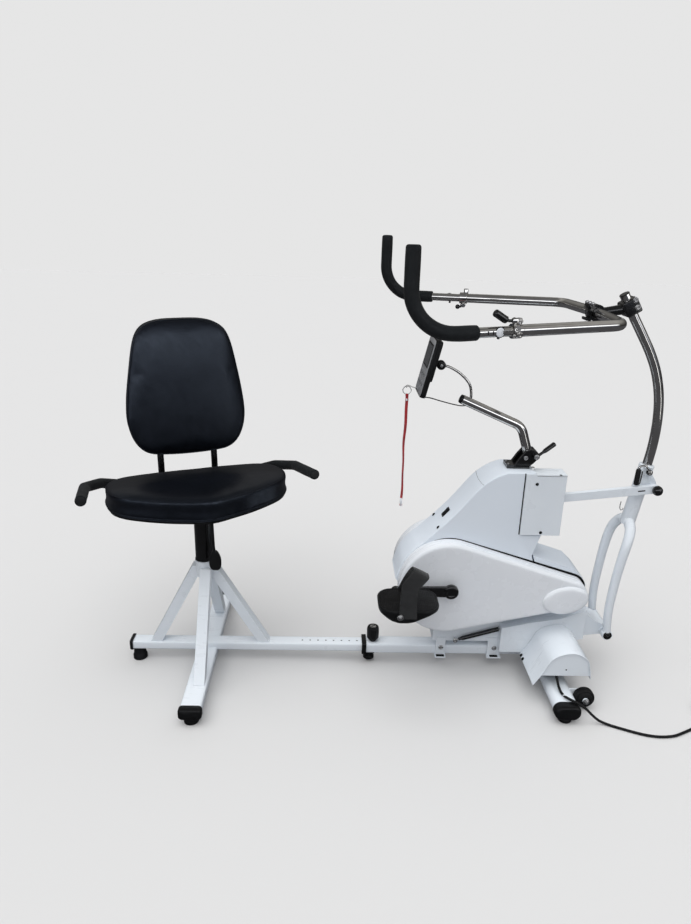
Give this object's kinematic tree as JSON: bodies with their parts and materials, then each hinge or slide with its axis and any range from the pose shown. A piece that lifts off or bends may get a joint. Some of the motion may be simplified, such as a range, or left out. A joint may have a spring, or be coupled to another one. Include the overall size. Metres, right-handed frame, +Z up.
{
  "type": "motorized therapy bike",
  "caption": "Seated motor-driven therapy bike: swivel seat on a sliding rail, shrouded crank with strapped pedals, console post and a swinging two-grip handlebar.",
  "frame": {"origin": "on the floor, under the middle of the bike's bounding box", "axes": "+Z up, +X from the seat towards the swinging fork, -Y the side with the control box"},
  "size_m": [1.8703, 0.751, 1.222],
  "materials": {
    "white_paint": "semi-gloss",
    "white_plastic": "semi-gloss",
    "black_plastic": "satin",
    "black_metal": "gloss",
    "black_rubber": "matte",
    "black_foam": "matte foam",
    "black_vinyl": "gloss vinyl",
    "chrome": "polished",
    "steel": "turned",
    "red_webbing": "woven"
  },
  "bodies": {
    "base": {"base_frame": "white_paint", "rail_mouth_collar": "black_plastic", "front_cap_near": "black_plastic", "front_cap_far": "black_plastic", "drive_frame": "white_paint", "upper_casing": "white_plastic", "guard_near": "white_plastic", "guard_far": "white_plastic", "rear_hood": "white_plastic", "control_box": "white_paint", "power_unit_cover": "white_paint", "power_unit": "black_plastic", "drive_motor": "steel", "drive_belt": "black_rubber", "post_bracket": "black_metal", "power_cord": "black_rubber", "cord_coil": "black_rubber", "power_plug": "black_rubber"},
    "rail_pin": {"rail_pin_knob": "black_plastic"},
    "wheel_near": {"transport_wheel_near": "black_rubber"},
    "wheel_far": {"transport_wheel_far": "black_rubber"},
    "crank": {"crank_pulley": "steel", "crank_arm_near": "black_metal", "crank_arm_far": "black_metal"},
    "pedal_near": {"pedal_near": "black_plastic", "pedal_strap_near": "black_rubber"},
    "pedal_far": {"pedal_far": "black_plastic", "pedal_strap_far": "black_rubber"},
    "motor_shaft": {"motor_pulley": "steel"},
    "console_post": {"console_post": "chrome", "console_cable": "black_rubber"},
    "post_lever": {"post_lever": "black_metal"},
    "console": {"console_case": "black_plastic"},
    "lanyard": {"safety_lanyard": "red_webbing"},
    "switch": {"power_switch": "black_plastic"},
    "fork": {"fork": "white_paint"},
    "link": {"link_bar": "white_paint"},
    "mast_lever": {"mast_lever": "black_metal"},
    "mast": {"mast": "chrome", "stem": "black_metal"},
    "bar": {"handlebar_frame": "chrome"},
    "grip_near": {"grip_tube_near": "chrome", "grip_foam_near": "black_foam"},
    "grip_far": {"grip_tube_far": "chrome", "grip_foam_far": "black_foam"},
    "clamp_near": {"clamp_lever_near": "black_metal"},
    "clamp_far": {"clamp_lever_far": "black_metal"},
    "carriage": {"seat_base_frame": "white_paint", "seat_tower": "white_paint", "rear_cap_near": "black_plastic", "rear_cap_far": "black_plastic", "rail_end_cap": "black_plastic", "gas_cylinder": "black_metal"},
    "seat_lift": {"piston_rod": "chrome"},
    "seat": {"seat_frame": "black_metal", "seat_cushion": "black_vinyl", "back_cushion": "black_vinyl", "seat_grip_left": "black_foam", "seat_grip_right": "black_foam"},
    "seat_lever": {"seat_lever": "black_plastic"}
  },
  "joints": [
    {"name": "rail_pin_pull", "type": "slide", "parent": "base", "child": "rail_pin", "axis": [0, 0, 1], "range_m": [0, 0.009], "stiffness_N_per_m": 800},
    {"name": "wheel_near_spin", "type": "hinge", "parent": "base", "child": "wheel_near", "pos_m": [0.602, -0.215, 0.036], "axis": [0, 1, 0], "continuous": true},
    {"name": "wheel_far_spin", "type": "hinge", "parent": "base", "child": "wheel_far", "pos_m": [0.602, 0.215, 0.036], "axis": [0, 1, 0], "continuous": true},
    {"name": "crank_spin", "type": "hinge", "parent": "base", "child": "crank", "pos_m": [0.23, 0, 0.305], "axis": [0, 1, 0], "continuous": true},
    {"name": "pedal_near_spin", "type": "hinge", "parent": "crank", "child": "pedal_near", "pos_m": [0.078, -0.19, 0.305], "axis": [0, 1, 0], "continuous": true},
    {"name": "pedal_far_spin", "type": "hinge", "parent": "crank", "child": "pedal_far", "pos_m": [0.382, 0.19, 0.305], "axis": [0, 1, 0], "continuous": true},
    {"name": "motor_spin", "type": "hinge", "parent": "base", "child": "motor_shaft", "pos_m": [0.574, 0, 0.285], "axis": [0, 1, 0], "continuous": true},
    {"name": "post_tilt", "type": "hinge", "parent": "base", "child": "console_post", "pos_m": [0.448, 0, 0.671], "axis": [0, 1, 0], "range_deg": [-5, 12]},
    {"name": "post_lever_turn", "type": "hinge", "parent": "base", "child": "post_lever", "pos_m": [0.448, 0, 0.671], "axis": [0, 1, 0], "range_deg": [-50, 40]},
    {"name": "console_tilt", "type": "hinge", "parent": "console_post", "child": "console", "pos_m": [0.177, 0, 0.91], "axis": [0, 1, 0], "range_deg": [-8, 15]},
    {"name": "lanyard_swing", "type": "hinge", "parent": "console", "child": "lanyard", "pos_m": [0.0915, 0, 0.851], "axis": [0, 1, 0], "range_deg": [-3, 40]},
    {"name": "switch_rock", "type": "hinge", "parent": "base", "child": "switch", "pos_m": [0.21955, 0, 0.49165], "axis": [0, 1, 0], "range_deg": [-5, 5]},
    {"name": "fork_swing", "type": "hinge", "parent": "base", "child": "fork", "pos_m": [0.707, 0, 0.139], "axis": [0, 1, 0], "range_deg": [-4.5, 4.5]},
    {"name": "link_turn", "type": "hinge", "parent": "fork", "child": "link", "pos_m": [0.785, 0, 0.586], "axis": [0, 1, 0], "range_deg": [-3.5, 3.5]},
    {"name": "mast_lever_turn", "type": "hinge", "parent": "fork", "child": "mast_lever", "pos_m": [0.763, -0.028, 0.632], "axis": [0, 1, 0], "range_deg": [0, 80]},
    {"name": "mast_slide", "type": "slide", "parent": "fork", "child": "mast", "axis": [0.1504, 0, 0.9886], "range_m": [-0.02, 0.05]},
    {"name": "bar_tilt", "type": "hinge", "parent": "mast", "child": "bar", "pos_m": [0.563, 0, 1.054], "axis": [0, 1, 0], "range_deg": [-20, 20]},
    {"name": "grip_near_slide", "type": "slide", "parent": "bar", "child": "grip_near", "axis": [-0.9445, -0.3282, -0.0142], "range_m": [-0.045, 0.04]},
    {"name": "grip_far_slide", "type": "slide", "parent": "bar", "child": "grip_far", "axis": [-0.9445, 0.3282, -0.0142], "range_m": [-0.045, 0.04]},
    {"name": "clamp_near_turn", "type": "hinge", "parent": "bar", "child": "clamp_near", "pos_m": [0.2765, -0.316, 1.0708], "axis": [0, 1, 0], "range_deg": [0, 60]},
    {"name": "clamp_far_turn", "type": "hinge", "parent": "bar", "child": "clamp_far", "pos_m": [0.28, 0.315, 1.0292], "axis": [0, 1, 0], "range_deg": [-60, 0]},
    {"name": "seat_slide", "type": "slide", "parent": "base", "child": "carriage", "axis": [1, 0, 0], "range_m": [-0.06, 0.17]},
    {"name": "seat_height", "type": "slide", "parent": "carriage", "child": "seat_lift", "axis": [0, 0, 1], "range_m": [0, 0.1]},
    {"name": "seat_swivel", "type": "hinge", "parent": "seat_lift", "child": "seat", "pos_m": [-0.464, 0, 0.5], "axis": [0, 0, 1], "continuous": true},
    {"name": "seat_lever_lift", "type": "hinge", "parent": "seat", "child": "seat_lever", "pos_m": [-0.43, -0.05, 0.497], "axis": [1, 0, 0], "range_deg": [0, 8], "stiffness_Nm_per_rad": 1.5}
  ],
  "couplings": [
    {"joint": "motor_spin", "follows": "crank_spin", "ratio": 3.6667},
    {"joint": "link_turn", "follows": "fork_swing", "ratio": -0.73}
  ]
}
